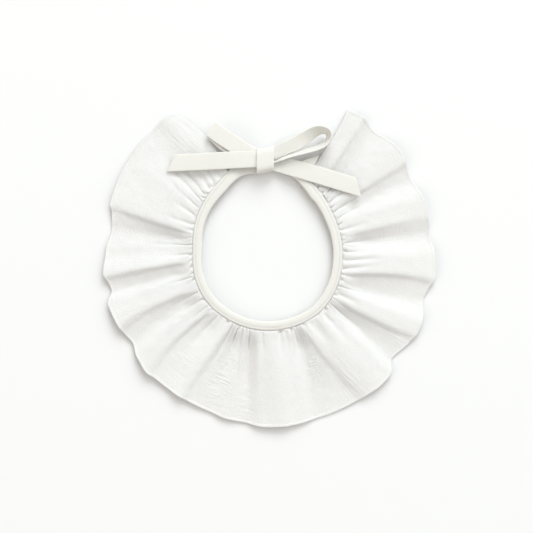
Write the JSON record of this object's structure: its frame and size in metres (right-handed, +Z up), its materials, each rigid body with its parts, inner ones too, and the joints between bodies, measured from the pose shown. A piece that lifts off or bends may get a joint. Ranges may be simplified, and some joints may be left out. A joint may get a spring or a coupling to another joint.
{
  "type": "child's gathered frill collar, tied in a bow",
  "caption": "Detached frill collar of white double gauze, gathered into a narrow tape neck binding that ties in a bow, lying flat",
  "frame": {"origin": "middle of the collar's outline, on the table it lies on", "axes": "+Z up from the table, +Y from the middle of the collar towards the bow, +X to the right of the bow seen from above"},
  "size_m": [0.2494, 0.2378, 0.0157],
  "materials": {
    "gauze": "matt crinkled double gauze, white",
    "tape": "matt pressed cotton tape, ivory white"
  },
  "bodies": {
    "root": {"frill": "gauze", "neck_binding": "tape", "bow_knot": "tape", "bow_loop_left": "tape", "bow_loop_right": "tape", "bow_tail_left": "tape", "bow_tail_right": "tape"}
  },
  "joints": []
}
